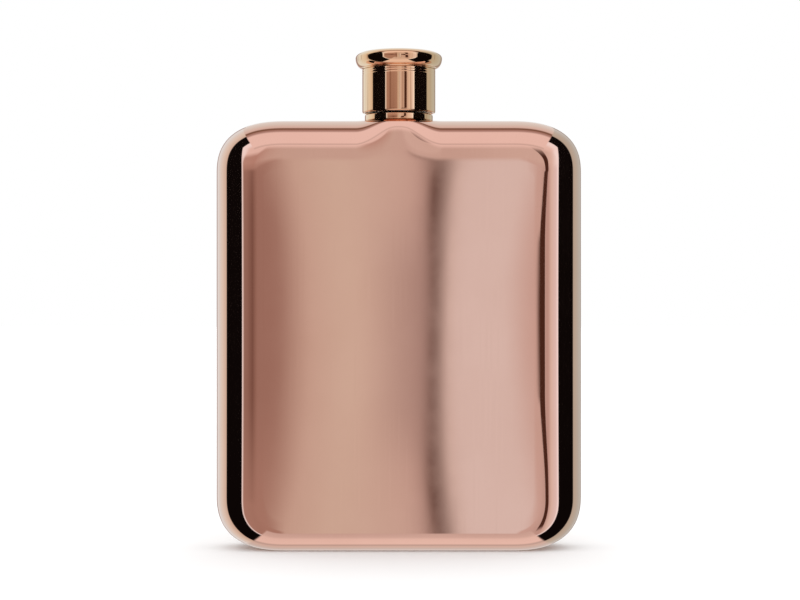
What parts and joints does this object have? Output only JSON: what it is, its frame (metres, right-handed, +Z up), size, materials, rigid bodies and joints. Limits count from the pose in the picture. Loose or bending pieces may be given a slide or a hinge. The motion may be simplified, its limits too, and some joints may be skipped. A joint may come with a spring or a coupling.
{
  "type": "hip flask",
  "caption": "Slim polished metal hip flask with rounded edges, a short threaded neck, and a screw cap with a wider rounded top.",
  "frame": {"origin": "middle of the flat base, under the centre of the neck", "axes": "+Z up along the neck, +Y to the back, front face towards -Y, +X to the right seen from the front"},
  "size_m": [0.092, 0.022, 0.1256],
  "materials": {
    "body_metal": "mirror polished, rose-gold copper plated stainless steel",
    "cap_metal": "mirror polished, slightly more golden copper plated steel",
    "bare_steel": "plain turned stainless steel, satin",
    "seal": "matte translucent white food-grade silicone"
  },
  "bodies": {
    "flask": {"front_shell": "body_metal", "back_shell": "body_metal", "neck_collar": "cap_metal", "neck_spout": "bare_steel"},
    "liner": {"cap_liner": "seal"},
    "cap": {"cap_barrel": "cap_metal", "cap_crown": "cap_metal", "cap_insert": "bare_steel"}
  },
  "joints": [
    {"name": "cap_rise", "type": "slide", "parent": "flask", "child": "liner", "axis": [0, 0, 1], "range_m": [0, 0.0125]},
    {"name": "cap_turn", "type": "hinge", "parent": "liner", "child": "cap", "pos_m": [0, 0, 0.115], "axis": [0, 0, 1], "range_deg": [0, 1800]}
  ],
  "couplings": [
    {"joint": "cap_rise", "follows": "cap_turn", "m_per_rad": 0.00039788}
  ]
}
